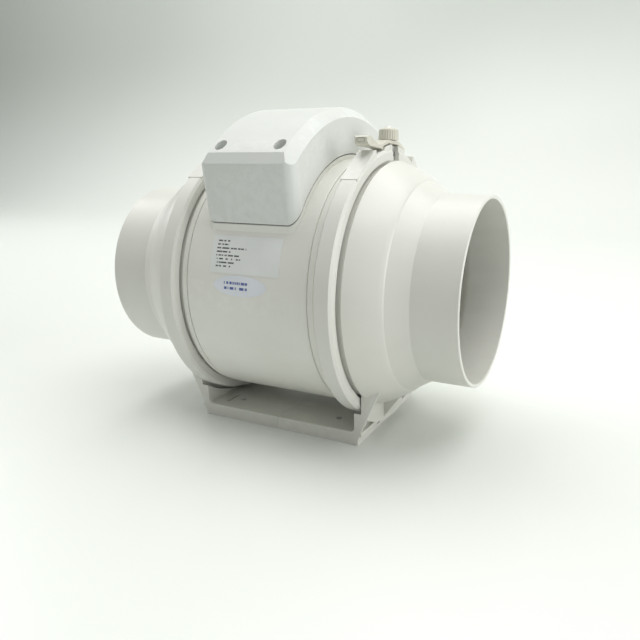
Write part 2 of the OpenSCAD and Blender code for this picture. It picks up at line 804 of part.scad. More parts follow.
// Lug with the sloping shoulder that the clip holds, on the +Y side
module lug() {
    across(lug_half_w * 2)
        polygon([[lug_y - 1, channel_r + 0.8], [lug_y - 1, lug_top], [lug_y + 1.5, lug_top],
                 [lug_end_y - 1.5, lug_end_z], [lug_end_y + 1.5, lug_end_z - 3.4],
                 [lug_end_y + 0.8, channel_r - 0.8], [lug_end_y / 2, channel_r + 0.8]]);
    // end wall, nearly as wide as the band
    across(band_w - 1.6)
        polygon([[lug_y - 1, channel_r + 0.6], [lug_y - 1, lug_top - 0.6], [lug_y + 2.4, lug_top - 0.6],
                 [lug_y + 3.4, band_r - 0.5], [lug_y + 3.4, channel_r + 0.6]]);
}

// Half band with its lug, trimmed at the gap between the lugs
module lugged_half() {
    difference() {
        union() {
            half_band();
            lug();
        }
        translate([-band_w, -band_w, 0]) cube([2 * band_w, band_w + lug_y, 2 * band_r]);
    }
}

head_half_w = 2.4;
head_y = 7.4;
head_h = 1.4;

// Room for the bolt's head under both lugs
module head_room() {
    translate([-head_half_w - slip, -head_y - slip, channel_r - cut])
        cube([2 * (head_half_w + slip), 2 * (head_y + slip), head_h + slip + cut + 0.2]);
}

// Raised ramp beyond the clip's toe, on the +Y side
module ramp() {
    difference() {
        across(band_w - 0.8)
            polygon([[30, 78], [31.5, band_r - 2.4], [34, band_r - 2.8], [58, band_r - 21], [57, band_r - 25]]);
        rotate([0, 90, 0]) cylinder(r = band_r - 1.5, h = 2 * band_w, center = true);
    }
}

// Knuckle parts of one band between x0 and x1, reaching towards +Y
module knuckle(x0, x1) {
    translate([x0, 0, -hinge_z]) rotate([0, 90, 0]) cylinder(r = knuckle_r, h = x1 - x0);
    translate([x0, 0, -hinge_z - 0.8]) cube([x1 - x0, knuckle_r + 3.5, 2.2]);
}

module hinge_bore() {
    translate([-band_w, 0, -hinge_z]) rotate([0, 90, 0]) cylinder(r = hinge_r + pin_gap, h = 2 * band_w);
}

module front_band(side) {
    color(white) clamp_frame(side) difference() {
        mirror([0, 1, 0]) union() {
            lugged_half();
            ramp();
            knuckle(-band_w / 2, -knuckle_half - knuckle_gap);
            knuckle(knuckle_half + knuckle_gap, band_w / 2);
        }
        hinge_bore();
        head_room();
    }
}

module rear_band(side) {
    color(white) clamp_frame(side) difference() {
        union() {
            lugged_half();
            ramp();
            knuckle(-knuckle_half, knuckle_half);
        }
        hinge_bore();
        head_room();
    }
}

module hinge_pin(side) {
    color(zinc) clamp_frame(side)
        translate([-band_w / 2, 0, -hinge_z]) rotate([0, 90, 0]) cylinder(r = hinge_r, h = band_w);
}

// Clip that bridges both lugs; the thumb lever of the outlet's points to the
// front and that of the inlet's to the back
module clip(side) {
    toe_y = lug_end_y + 0.4;
    color(cream) clamp_frame(side) rotate([0, 0, side > 0 ? 0 : 180]) difference() {
        union() {
            across(clip_half_w * 2)
                polygon([[-toe_y - 3, foot_z + 1], [-toe_y - 1.6, foot_z - 0.1], [-toe_y - 1.2, foot_z],
                         [-toe_y + 0.9, lug_end_z + 0.6], [-clip_flat_y, clip_under], [clip_flat_y, clip_under],
                         [toe_y - 0.9, lug_end_z + 0.6], [toe_y + 1.2, foot_z], [toe_y + 2.6, foot_z + 0.3],
                         [toe_y + 2, lug_end_z + 1.6], [clip_flat_y + 2, clip_top - 0.5], [clip_flat_y, clip_top],
                         [-clip_flat_y, clip_top], [-clip_flat_y - 2, clip_top - 0.5], [-toe_y - 0.8, lug_end_z + 1.4]]);
            // thumb lever
            across(clip_half_w * 2)
                polygon([[-toe_y - 0.8, lug_end_z + 1.4], [-toe_y - 1.6, foot_z - 0.1], [-toe_y - 3, foot_z + 0.4],
                         [-38, band_r - 0.4], [-41.5, band_r + 0.4], [-43.2, band_r + 2.4], [-43, band_r + 4.6],
                         [-41.4, band_r + 5.8], [-39, band_r + 5.7], [-36, band_r + 4.8], [-30, band_r + 3.1],
                         [-24, band_r + 1.4]]);
        }
        translate([0, 0, clip_under - 4]) cylinder(r = bolt_r + pin_gap + 0.05, h = 12);
    }
}

// Bolt whose head lies under both lugs
module clamp_bolt(side) {
    color(zinc) clamp_frame(side) union() {
        translate([0, 0, channel_r + 0.1]) cylinder(r = bolt_r, h = bolt_top - channel_r - 0.1);
        translate([-head_half_w, -head_y, channel_r + 0.1]) cube([2 * head_half_w, 2 * head_y, head_h]);
    }
}

module lock_nut(side) {
    color(zinc) clamp_frame(side) difference() {
        translate([0, 0, nut_z]) rotate([0, 0, 30]) cylinder(r = bolt_r * 1.9, h = nut_h, $fn = 6);
        translate([0, 0, nut_z - 1]) cylinder(r = bolt_r, h = nut_h + 2);
    }
}

module knob(side) {
    flutes = 22;
    color(cream) clamp_frame(side) difference() {
        union() {
            translate([0, 0, knob_z]) cylinder(r1 = knob_d / 2, r2 = knob_d / 2 - 0.4, h = knob_h);
            intersection() {
                translate([0, 0, knob_top - 8.2]) sphere(r = 10.2);
                translate([0, 0, knob_top]) cylinder(r = knob_d / 2 - 0.6, h = 4);
            }
        }
        translate([0, 0, knob_z - 1]) cylinder(r = bolt_r + pin_gap, h = 20);
        translate([0, 0, knob_z - 1]) cylinder(r = insert_r, h = knob_h - 0.6);
        for (i = [0:flutes - 1])
            rotate([0, 0, i * 360 / flutes])
                translate([knob_d / 2 + 0.35, 0, knob_z - 1]) cylinder(r = 0.8, h = knob_h + 0.4, $fn = 16);
    }
}

module knob_insert(side) {
    color("#c8a84a") clamp_frame(side) difference() {
        translate([0, 0, knob_z + 0.02]) cylinder(r = insert_r, h = knob_h - 1.7);
        translate([0, 0, knob_z - 1]) cylinder(r = bolt_r + pin_gap, h = knob_h + 2);
    }
}

module inlet_front_band() front_band(-1);
module inlet_rear_band() rear_band(-1);
module inlet_hinge_pin() hinge_pin(-1);
module inlet_clip() clip(-1);
module inlet_bolt() clamp_bolt(-1);
module inlet_lock_nut() lock_nut(-1);
module inlet_knob() knob(-1);
module inlet_knob_insert() knob_insert(-1);
module outlet_front_band() front_band(1);
module outlet_rear_band() rear_band(1);
module outlet_hinge_pin() hinge_pin(1);
module outlet_clip() clip(1);
module outlet_bolt() clamp_bolt(1);
module outlet_lock_nut() lock_nut(1);
module outlet_knob() knob(1);
module outlet_knob_insert() knob_insert(1);

inlet_housing();
outlet_housing();
motor_casing();
impeller_shroud();
guide_vanes();
motor_end_cover();
motor_cover_screws();
stator_core();
stator_windings();
rotor_core();
motor_shaft();
front_bearing();
rear_bearing();
impeller();
impeller_nut();
inlet_seal();
outlet_seal();
terminal_cover();
cover_seal();
cover_screws();
terminal_block();
terminal_screws();
run_capacitor();
capacitor_clip();
cable_gland();
gland_nut();
motor_lead();
lead_grommet();
rating_label();
test_sticker();
inlet_front_band();
inlet_rear_band();
inlet_hinge_pin();
inlet_clip();
inlet_bolt();
inlet_lock_nut();
inlet_knob();
inlet_knob_insert();
outlet_front_band();
outlet_rear_band();
outlet_hinge_pin();
outlet_clip();
outlet_bolt();
outlet_lock_nut();
outlet_knob();
outlet_knob_insert();
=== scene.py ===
"""Visual model of an inline duct fan: moulded, rounded and printed detail over its CAD frame."""

import json
import logging
import math
from collections.abc import Callable, Sequence
from dataclasses import dataclass, field
from enum import Enum

import bmesh
import bpy
from mathutils import Matrix, Vector
from mathutils.bvhtree import BVHTree


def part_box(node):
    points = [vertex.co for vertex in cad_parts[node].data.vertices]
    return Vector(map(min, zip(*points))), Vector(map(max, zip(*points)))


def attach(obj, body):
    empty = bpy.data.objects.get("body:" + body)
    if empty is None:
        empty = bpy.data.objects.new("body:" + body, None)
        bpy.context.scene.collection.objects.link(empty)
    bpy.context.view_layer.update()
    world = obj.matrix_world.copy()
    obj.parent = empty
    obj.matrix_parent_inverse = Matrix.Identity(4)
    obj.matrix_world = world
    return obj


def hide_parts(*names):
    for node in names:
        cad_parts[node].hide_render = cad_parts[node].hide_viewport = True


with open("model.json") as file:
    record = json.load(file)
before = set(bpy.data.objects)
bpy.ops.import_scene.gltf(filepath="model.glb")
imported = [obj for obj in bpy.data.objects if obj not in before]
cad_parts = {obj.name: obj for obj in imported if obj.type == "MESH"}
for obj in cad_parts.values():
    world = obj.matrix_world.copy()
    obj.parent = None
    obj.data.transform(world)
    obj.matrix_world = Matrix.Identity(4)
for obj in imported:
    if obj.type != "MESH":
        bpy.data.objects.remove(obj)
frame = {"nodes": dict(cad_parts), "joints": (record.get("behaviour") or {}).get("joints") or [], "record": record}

LOG = logging.getLogger("duct_fan")
MM = 0.001
# the terminal cover's screw wells in metres: across, along, and how far the finer rounding reaches
WELL_X = 0.0215
WELL_YS = (-0.068, 0.065)
WELL_REACH = 0.0062
Point = tuple[float, float, float]
Colour = tuple[float, float, float]


# ---- what the frame says ----


class Side(Enum):
    """The two ends of the fan, with the sign of their X."""

    INLET = -1
    OUTLET = 1

    @property
    def word(self) -> str:
        """The word that starts this side's node and body names."""
        return self.name.lower()


@dataclass(frozen=True)
class Layout:
    """Places that several pieces share, read from the frame.

    Attributes:
        axis_z: height of the fan's axis.
        joint_x: distance from the middle to a flange joint.
        latch_tilt: turn of the clamps about the axis, towards the back.
    """

    axis_z: float
    joint_x: float
    latch_tilt: float

    @classmethod
    def read(cls) -> "Layout":
        """Measures the frame's seal and the clip's sliding axis.

        Returns:
            The shared places.
        """
        low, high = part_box("outlet_seal")
        lift = next(j for j in frame["joints"] if j["name"] == "outlet_clip_lift")
        middle = (low + high) / 2
        return cls(middle.z, middle.x, math.atan2(lift["axis"][1], lift["axis"][2]))

    def clamp(self, side: Side) -> Matrix:
        """The clamp's own frame: Z through the bolt, X along the fan, origin on the axis.

        Args:
            side: which clamp.

        Returns:
            The matrix from that frame to the row frame.
        """
        place = Matrix.Translation((side.value * self.joint_x, 0, self.axis_z))
        return place @ Matrix.Rotation(-self.latch_tilt, 4, "X")


# ---- node groups ----


@dataclass
class NodeSheet:
    """A short way to place and wire shader nodes.

    Attributes:
        tree: the node tree that the nodes go in.
    """

    tree: bpy.types.NodeTree

    def node(self, kind: str, **values: object) -> bpy.types.Node:
        """Adds a node.

        Args:
            kind: the node's type without its ShaderNode prefix.
            **values: attributes to set on it.

        Returns:
            The new node.
        """
        made = self.tree.nodes.new("ShaderNode" + kind)
        for key, value in values.items():
            setattr(made, key, value)
        return made

    def feed(self, target: bpy.types.NodeSocket, value: object) -> None:
        """Links a socket to a target, or sets the target's own value.

        Args:
            target: the input socket.
            value: an output socket, or a plain value.
        """
        if isinstance(value, bpy.types.NodeSocket):
            self.tree.links.new(value, target)
        else:
            target.default_value = value

    def math(self, operation: str, *values: object, clamp: bool = False) -> bpy.types.NodeSocket:
        """Adds a Math node.

        Args:
            operation: the node's operation.
            *values: its inputs in order.
            clamp: whether the result stays from 0 to 1.

        Returns:
            The node's output.
        """
        made = self.node("Math", operation=operation, use_clamp=clamp)
        for socket, value in zip(made.inputs, values):
            self.feed(socket, value)
        return made.outputs[0]

    def ramp(self, value: object, low: float, high: float, top: float = 1.0) -> bpy.types.NodeSocket:
        """Spreads a value smoothly from 0 at low to top at high.

        Args:
            value: the value to spread.
            low: where the result is 0.
            high: where the result is top.
            top: the highest result.

        Returns:
            The spread value.
        """
        made = self.node("MapRange", interpolation_type="SMOOTHSTEP", clamp=True)
        for socket, item in zip(made.inputs, (value, low, high, 0.0, top)):
            self.feed(socket, item)
        return made.outputs[0]

    def mix(self, share: object, first: object, second: object, blend: str = "MIX") -> bpy.types.NodeSocket:
        """Mixes two colours.

        Args:
            share: how much of the second colour shows.
            first: the colour at share 0.
            second: the colour at share 1.
            blend: the node's blend type.

        Returns:
            The mixed colour.
        """
        made = self.node("Mix", data_type="RGBA", blend_type=blend)
        self.feed(made.inputs[0], share)
        self.feed(made.inputs[6], rgba(first))
        self.feed(made.inputs[7], rgba(second))
        return made.outputs[2]

    def noise(
        self, vector: object, scale: float, detail: float = 2.0, rough: float = 0.5
    ) -> bpy.types.NodeSocket:
        """Adds a noise texture.

        Args:
            vector: the coordinates.
            scale: how many waves in a metre.
            detail: octaves.
            rough: strength of the finer octaves.

        Returns:
            The noise's value.
        """
        made = self.node("TexNoise")
        self.feed(made.inputs["Vector"], vector)
        self.feed(made.inputs["Scale"], scale)
        self.feed(made.inputs["Detail"], detail)
        self.feed(made.inputs["Roughness"], rough)
        return made.outputs[0]


def rgba(value: object) -> object:
    """A colour with its alpha, or the socket unchanged.

    Args:
        value: three numbers or a socket.

    Returns:
        Four numbers or the same socket.
    """
    return value if isinstance(value, bpy.types.NodeSocket) else (*value, 1.0)


class GroupKind(Enum):
    """The shared effects, each built once as a node group."""

    GRAIN = "MouldGrain"
    DRIFT = "ColourDrift"
    DUST = "SettledDust"
    WEAR = "EdgeWear"
    # edge wear, and the painted shade in creases and hollows
    BRUSH = "BrushedLines"


class EffectShelf:
    """Builds the shared node groups and places them in materials."""

    def __init__(self) -> None:
        """Starts with no group built."""
        self.made: dict[GroupKind, bpy.types.NodeTree] = {}
        self.builders: dict[GroupKind, Callable[[], bpy.types.NodeTree]] = {
            GroupKind.GRAIN: self.build_grain,
            GroupKind.DRIFT: self.build_drift,
            GroupKind.DUST: self.build_dust,
            GroupKind.WEAR: self.build_wear,
            GroupKind.BRUSH: self.build_brush,
        }

    def place(self, sheet: NodeSheet, kind: GroupKind, **values: object) -> bpy.types.Node:
        """Puts a group in a material.

        Args:
            sheet: the material's nodes.
            kind: which effect.
            **values: its inputs, with spaces written as underscores.

        Returns:
            The group's node.
        """
        if kind not in self.made:
            self.made[kind] = self.builders[kind]()
        node = sheet.node("Group", node_tree=self.made[kind])
        for key, value in values.items():
            sheet.feed(node.inputs[key.replace("_", " ")], value)
        return node

    def begin(self, kind: GroupKind, inputs: dict[str, float], outputs: Sequence[str]) -> tuple:
        """Starts a group with its sockets.

        Args:
            kind: which effect.
            inputs: input names with their starting values.
            outputs: output names.

        Returns:
            The node sheet, the input node and the output node.
        """
        tree = bpy.data.node_groups.new(kind.value, "ShaderNodeTree")
        for name, value in inputs.items():
            socket = tree.interface.new_socket(name=name, in_out="INPUT", socket_type="NodeSocketFloat")
            socket.default_value = value
        for name in outputs:
            tree.interface.new_socket(name=name, in_out="OUTPUT", socket_type="NodeSocketFloat")
        sheet = NodeSheet(tree)
        return sheet, tree.nodes.new("NodeGroupInput"), tree.nodes.new("NodeGroupOutput")

    def build_grain(self) -> bpy.types.NodeTree:
        """The fine spark-eroded texture of a moulded face, as a height in metres.

        Returns:
            The group, with inputs Size and Depth and output Height.
        """
        sheet, given, out = self.begin(GroupKind.GRAIN, {"Size": 0.0006, "Depth": 0.00002}, ["Height"])
        spot = sheet.node("TexCoord").outputs["Object"]
        scale = sheet.math("DIVIDE", 1.0, given.outputs["Size"])
        fine = sheet.node("TexNoise")
        sheet.feed(fine.inputs["Vector"], spot)
        sheet.feed(fine.inputs["Scale"], scale)
        fine.inputs["Detail"].default_value = 3.0
        waves = sheet.noise(spot, 70.0, 2.0, 0.4)
        both = sheet.math(
            "ADD", sheet.math("MULTIPLY", fine.outputs[0], 1.0), sheet.math("MULTIPLY", waves, 1.6)
        )
        sheet.feed(out.inputs["Height"], sheet.math("MULTIPLY", both, given.outputs["Depth"]))
        return sheet.tree

    def build_drift(self) -> bpy.types.NodeTree:
        """Slow change of shade over a moulding, with flow streaks.

        Returns:
            The group, with inputs Size and Streaks and outputs Mask and Polish.
        """
        sheet, given, out = self.begin(GroupKind.DRIFT, {"Size": 0.09, "Streaks": 0.3}, ["Mask", "Polish"])
        spot = sheet.node("TexCoord").outputs["Object"]
        wide = sheet.node("TexNoise")
        sheet.feed(wide.inputs["Vector"], spot)
        sheet.feed(wide.inputs["Scale"], sheet.math("DIVIDE", 1.0, given.outputs["Size"]))
        stretch = sheet.node("Mapping")
        sheet.feed(stretch.inputs["Vector"], spot)
        stretch.inputs["Scale"].default_value = (6.0, 30.0, 30.0)
        streaks = sheet.noise(stretch.outputs[0], 2.0, 3.0, 0.6)
        share = sheet.math("MULTIPLY", sheet.ramp(streaks, 0.45, 0.75), given.outputs["Streaks"])
        mask = sheet.math("ADD", sheet.ramp(wide.outputs[0], 0.35, 0.68), share, clamp=True)
        sheet.feed(out.inputs["Mask"], mask)
        smudge = sheet.ramp(sheet.noise(spot, 38.0, 4.0, 0.62), 0.42, 0.72)
        sheet.feed(out.inputs["Polish"], smudge)
        return sheet.tree

    def build_dust(self) -> bpy.types.NodeTree:
        """Light dust on faces that look up.

        Returns:
            The group, with inputs Amount and Size and output Mask.
        """
        sheet, given, out = self.begin(GroupKind.DUST, {"Amount": 0.2, "Size": 0.004}, ["Mask"])
        spot = sheet.node("TexCoord").outputs["Object"]
        parts = sheet.node("SeparateXYZ")
        sheet.feed(parts.inputs[0], sheet.node("NewGeometry").outputs["Normal"])
        upward = sheet.ramp(parts.outputs["Z"], 0.2, 0.95)
        specks = sheet.node("TexNoise")
        sheet.feed(specks.inputs["Vector"], spot)
        sheet.feed(specks.inputs["Scale"], sheet.math("DIVIDE", 1.0, given.outputs["Size"]))
        specks.inputs["Detail"].default_value = 4.0
        cover = sheet.math("MULTIPLY", sheet.ramp(specks.outputs[0], 0.5, 0.78), upward)
        sheet.feed(out.inputs["Mask"], sheet.math("MULTIPLY", cover, given.outputs["Amount"], clamp=True))
        return sheet.tree

    def build_wear(self) -> bpy.types.NodeTree:
        """Rubbed convex edges, and painted shade that darkens concave ones.

        Returns:
            The group, with inputs Amount and Shade, output Rubbed for the worn edges and a second output for the
            painted shade in hollows.
        """
        sheet, given, out = self.begin(GroupKind.WEAR, {"Amount": 0.4, "Shade": 0.4}, ["Rubbed", "Grimy"])
        spot = sheet.node("TexCoord").outputs["Object"]
        point = sheet.node("NewGeometry").outputs["Pointiness"]
        broken = sheet.ramp(sheet.noise(spot, 210.0, 3.0, 0.6), 0.38, 0.62)
        rubbed = sheet.math("MULTIPLY", sheet.ramp(point, 0.52, 0.6), broken)
        sheet.feed(out.inputs["Rubbed"], sheet.math("MULTIPLY", rubbed, given.outputs["Amount"], clamp=True))
        # painted shade: creases and hollows darkened by how concave the surface is
        hollow = sheet.ramp(sheet.math("SUBTRACT", 0.5, point), 0.008, 0.08)
        sheet.feed(out.inputs["Grimy"], sheet.math("MULTIPLY", hollow, given.outputs["Shade"], clamp=True))
        return sheet.tree

    def build_brush(self) -> bpy.types.NodeTree:
        """Fine turning or rolling lines on metal.

        Returns:
            The group, with inputs Depth and Length and outputs Height and Mask.
        """
        sheet, given, out = self.begin(
            GroupKind.BRUSH, {"Depth": 0.000004, "Length": 12.0}, ["Height", "Mask"]
        )
        spot = sheet.node("TexCoord").outputs["Object"]
        stretch = sheet.node("VectorMath", operation="MULTIPLY")
        sheet.feed(stretch.inputs[0], spot)
        stretch.inputs[1].default_value = (3800.0, 260.0, 260.0)
        lines = sheet.noise(stretch.outputs[0], 1.0, 3.0, 0.6)
        blot = sheet.math("MULTIPLY", sheet.noise(spot, 240.0, 3.0, 0.55), given.outputs["Length"])
        sheet.feed(out.inputs["Height"], sheet.math("MULTIPLY", lines, given.outputs["Depth"]))
        sheet.feed(out.inputs["Mask"], sheet.math("FRACT", sheet.math("MULTIPLY", blot, 0.09)))
        return sheet.tree


EFFECTS = EffectShelf()


# ---- finishes ----


@dataclass(frozen=True)
class Plastic:
    """A moulded plastic.

    Attributes:
        name: the material's name.
        colour: the main colour.
        shade: the colour of its darker drift, and darkened further for the painted shade in its creases.
        roughness: its middle roughness.
        grain: size of its mould grain.
        depth: height of its mould grain.
        dust: how much dust lies on it.
        wear: how strongly its edges are rubbed.
        sheen: its specular level.
    """

    name: str
    colour: Colour
    shade: Colour
    roughness: float = 0.38
    grain: float = 0.0005
    depth: float = 0.000018
    dust: float = 0.1
    wear: float = 0.35
    sheen: float = 0.5

    def build(self) -> bpy.types.Material:
        """Makes the material.

        Returns:
            The finished material.
        """
        sheet, shader = fresh_material(self.name)
        drift = EFFECTS.place(sheet, GroupKind.DRIFT)
        wear = EFFECTS.place(sheet, GroupKind.WEAR, Amount=self.wear)
        dust = EFFECTS.place(sheet, GroupKind.DUST, Amount=self.dust)
        grain = EFFECTS.place(sheet, GroupKind.GRAIN, Size=self.grain, Depth=self.depth)
        base = sheet.mix(drift.outputs["Mask"], self.colour, self.shade)
        # painted shade: creases and hollows mixed towards a darker copy of the shade colour
        crease_shaded = sheet.mix(wear.outputs["Grimy"], base, scaled(self.shade, 0.72))
        rubbed = sheet.mix(wear.outputs["Rubbed"], crease_shaded, lifted(self.colour))
        sheet.feed(shader.inputs["Base Color"], sheet.mix(dust.outputs["Mask"], rubbed, (0.62, 0.6, 0.55)))
        rough = sheet.math("MULTIPLY_ADD", drift.outputs["Polish"], 0.09, self.roughness - 0.03)
        more = sheet.math("MULTIPLY_ADD", dust.outputs["Mask"], 0.3, rough)
        sheet.feed(shader.inputs["Roughness"], more)
        bump_into(sheet, shader, grain.outputs["Height"])
        shader.inputs["Specular IOR Level"].default_value = self.sheen
        return sheet.material


@dataclass(frozen=True)
class Metal:
    """A bare or plated metal.

    Attributes:
        name: the material's name.
        colour: the main colour.
        shade: the colour of its rougher patches, and darkened further for the painted shade in its creases.
        roughness: its middle roughness.
        depth: height of its fine lines.
        metallic: how metallic it is.
    """

    name: str
    colour: Colour
    shade: Colour
    roughness: float = 0.3
    depth: float = 0.000005
    metallic: float = 1.0

    def build(self) -> bpy.types.Material:
        """Makes the material.

        Returns:
            The finished material.
        """
        sheet, shader = fresh_material(self.name)
        brush = EFFECTS.place(sheet, GroupKind.BRUSH, Depth=self.depth)
        wear = EFFECTS.place(sheet, GroupKind.WEAR, Amount=0.5, Shade=0.6)
        patch = sheet.mix(sheet.math("MULTIPLY", brush.outputs["Mask"], 0.6), self.colour, self.shade)
        # painted shade: creases and hollows mixed towards half the shade colour
        metal_crease_shaded = sheet.mix(wear.outputs["Grimy"], patch, scaled(self.shade, 0.5))
        sheet.feed(shader.inputs["Base Color"], sheet.mix(wear.outputs["Rubbed"], metal_crease_shaded, lifted(self.colour)))
        rough = sheet.math("MULTIPLY_ADD", brush.outputs["Mask"], 0.16, self.roughness)
        sheet.feed(shader.inputs["Roughness"], rough)
        shader.inputs["Metallic"].default_value = self.metallic
        bump_into(sheet, shader, brush.outputs["Height"])
        return sheet.material


@dataclass(frozen=True)
class Rubber:
    """A soft seal.

    Attributes:
        name: the material's name.
        colour: the main colour.
        roughness: its middle roughness.
    """

    name: str
    colour: Colour
    roughness: float = 0.75

    def build(self) -> bpy.types.Material:
        """Makes the material.

        Returns:
            The finished material.
        """
        sheet, shader = fresh_material(self.name)
        drift = EFFECTS.place(sheet, GroupKind.DRIFT, Size=0.02)
        grain = EFFECTS.place(sheet, GroupKind.GRAIN, Size=0.0009, Depth=0.00004)
        bloom = sheet.mix(
            sheet.math("MULTIPLY", drift.outputs["Polish"], 0.5), self.colour, lifted(self.colour)
        )
        sheet.feed(shader.inputs["Base Color"], bloom)
        rough = sheet.math("MULTIPLY_ADD", drift.outputs["Mask"], 0.12, self.roughness)
        sheet.feed(shader.inputs["Roughness"], rough)
        bump_into(sheet, shader, grain.outputs["Height"])
        return sheet.material


@dataclass(frozen=True)
class Winding:
    """Enamelled wire wound round the fan's axis.

    Attributes:
        name: the material's name.
        colour: the enamel's colour.
        shade: the painted shade in the gaps between the wires.
        pitch: distance between two wires.
    """

    name: str
    colour: Colour
    shade: Colour
    pitch: float = 0.0006

    def build(self) -> bpy.types.Material:
        """Makes the material.

        Returns:
            The finished material.
        """
        sheet, shader = fresh_material(self.name)
        spot = sheet.node("TexCoord").outputs["Object"]
        parts = sheet.node("SeparateXYZ")
        sheet.feed(parts.inputs[0], spot)
        wobble = sheet.math("MULTIPLY", sheet.noise(spot, 120.0, 2.0), 0.0012)
        along = sheet.math("ADD", parts.outputs["X"], wobble)
        wave = sheet.math("SINE", sheet.math("MULTIPLY", along, 2 * math.pi / self.pitch))
        height = sheet.math("MULTIPLY", wave, self.pitch * 0.2)
        # painted shade: the valleys between the wires darkened, the crests keep the enamel colour
        wire_gap_shade = sheet.mix(sheet.ramp(wave, -0.9, 0.3), self.shade, self.colour)
        sheet.feed(shader.inputs["Base Color"], wire_gap_shade)
        sheet.feed(shader.inputs["Roughness"], sheet.math("MULTIPLY_ADD", sheet.noise(spot, 60.0), 0.2, 0.25))
        shader.inputs["Metallic"].default_value = 0.7
        bump_into(sheet, shader, height)
        return sheet.material


@dataclass(frozen=True)
class PrintedFilm:
    """A label film with blank printed rows, laid out over the piece's UV map.

    Attributes:
        name: the material's name.
        film: the film's colour.
        ink: the rows' colour.
        rows: number of rows over the whole height.
        first: first row that is printed, counted from the top.
        last: last row that is printed.
        left: share of the width where the rows start.
        right: share of the width where the longest row ends.
        words: about how many words stand in a full width.
        tall: share of a row's height that the ink takes.
    """

    name: str
    film: Colour
    ink: Colour
    rows: float
    first: int
    last: int
    left: float
    right: float
    words: float
    tall: float = 0.4

    def build(self) -> bpy.types.Material:
        """Makes the material.

        Returns:
            The finished material.
        """
        sheet, shader = fresh_material(self.name)
        split = sheet.node("SeparateXYZ")
        sheet.feed(split.inputs[0], sheet.node("UVMap", uv_map="Print").outputs["UV"])
        across, up = split.outputs["X"], split.outputs["Y"]
        down = sheet.math("MULTIPLY", sheet.math("SUBTRACT", 1.0, up), self.rows)
        row = sheet.math("FLOOR", down)
        within = sheet.math("ABSOLUTE", sheet.math("SUBTRACT", sheet.math("FRACT", down), 0.5))
        line = sheet.ramp(within, self.tall / 2 + 0.05, self.tall / 2 - 0.05)
        picks = sheet.node("TexWhiteNoise", noise_dimensions="1D")
        sheet.feed(picks.inputs["W"], sheet.math("ADD", row, 0.37))
        length = sheet.math("MULTIPLY_ADD", picks.outputs["Value"], -0.3, self.right)
        spot = sheet.node("CombineXYZ")
        sheet.feed(spot.inputs["X"], sheet.math("MULTIPLY", across, self.words * 5.3))
        sheet.feed(spot.inputs["Y"], sheet.math("MULTIPLY", row, 3.1))
        letters = sheet.ramp(sheet.noise(spot.outputs[0], 1.0, 1.0), 0.4, 0.52)
        inside = sheet.math("GREATER_THAN", across, self.left)
        inside = sheet.math("MULTIPLY", inside, sheet.math("LESS_THAN", across, length))
        inside = sheet.math("MULTIPLY", inside, sheet.math("GREATER_THAN", row, self.first - 0.5))
        inside = sheet.math("MULTIPLY", inside, sheet.math("LESS_THAN", row, self.last + 0.5))
        ink = sheet.math("MULTIPLY", sheet.math("MULTIPLY", line, letters), inside)
        grain = EFFECTS.place(sheet, GroupKind.GRAIN, Size=0.0011, Depth=0.000012)
        drift = EFFECTS.place(sheet, GroupKind.DRIFT, Size=0.03)
        paper = sheet.mix(drift.outputs["Mask"], self.film, scaled(self.film, 0.94))
        sheet.feed(shader.inputs["Base Color"], sheet.mix(ink, paper, self.ink))
        sheet.feed(shader.inputs["Roughness"], sheet.math("MULTIPLY_ADD", drift.outputs["Polish"], 0.1, 0.34))
        bump_into(sheet, shader, grain.outputs["Height"])
        return sheet.material


def scaled(colour: Colour, share: float) -> Colour:
    """A colour made darker.

    Args:
        colour: the colour.
        share: what each channel is multiplied by.

    Returns:
        The darker colour.
    """
    return tuple(c * share for c in colour)


def lifted(colour: Colour) -> Colour:
    """A colour moved a third of the way to white.

    Args:
        colour: the colour.

    Returns:
        The lighter colour.
    """
    return tuple(c + (1 - c) * 0.33 for c in colour)


@dataclass
class MaterialSheet(NodeSheet):
    """A node sheet that also knows its material.

    Attributes:
        material: the material that owns the tree.
    """

    material: bpy.types.Material = None


def fresh_material(name: str) -> tuple[MaterialSheet, bpy.types.Node]:
    """Starts a material.

    Args:
        name: its name.

    Returns:
        Its node sheet and its Principled BSDF.
    """
    material = bpy.data.materials.new(name)
    material.use_nodes = True
    return MaterialSheet(material.node_tree, material), material.node_tree.nodes["Principled BSDF"]


def bump_into(sheet: NodeSheet, shader: bpy.types.Node, height: bpy.types.NodeSocket) -> None:
    """Feeds a height in metres to a shader's normal.

    Args:
        sheet: the material's nodes.
        shader: the Principled BSDF.
        height: the height's socket.
    """
    bump = sheet.node("Bump")
    bump.inputs["Strength"].default_value = 1.0
    bump.inputs["Distance"].default_value = 1.0
    sheet.feed(bump.inputs["Height"], height)
    sheet.feed(shader.inputs["Normal"], bump.outputs[0])


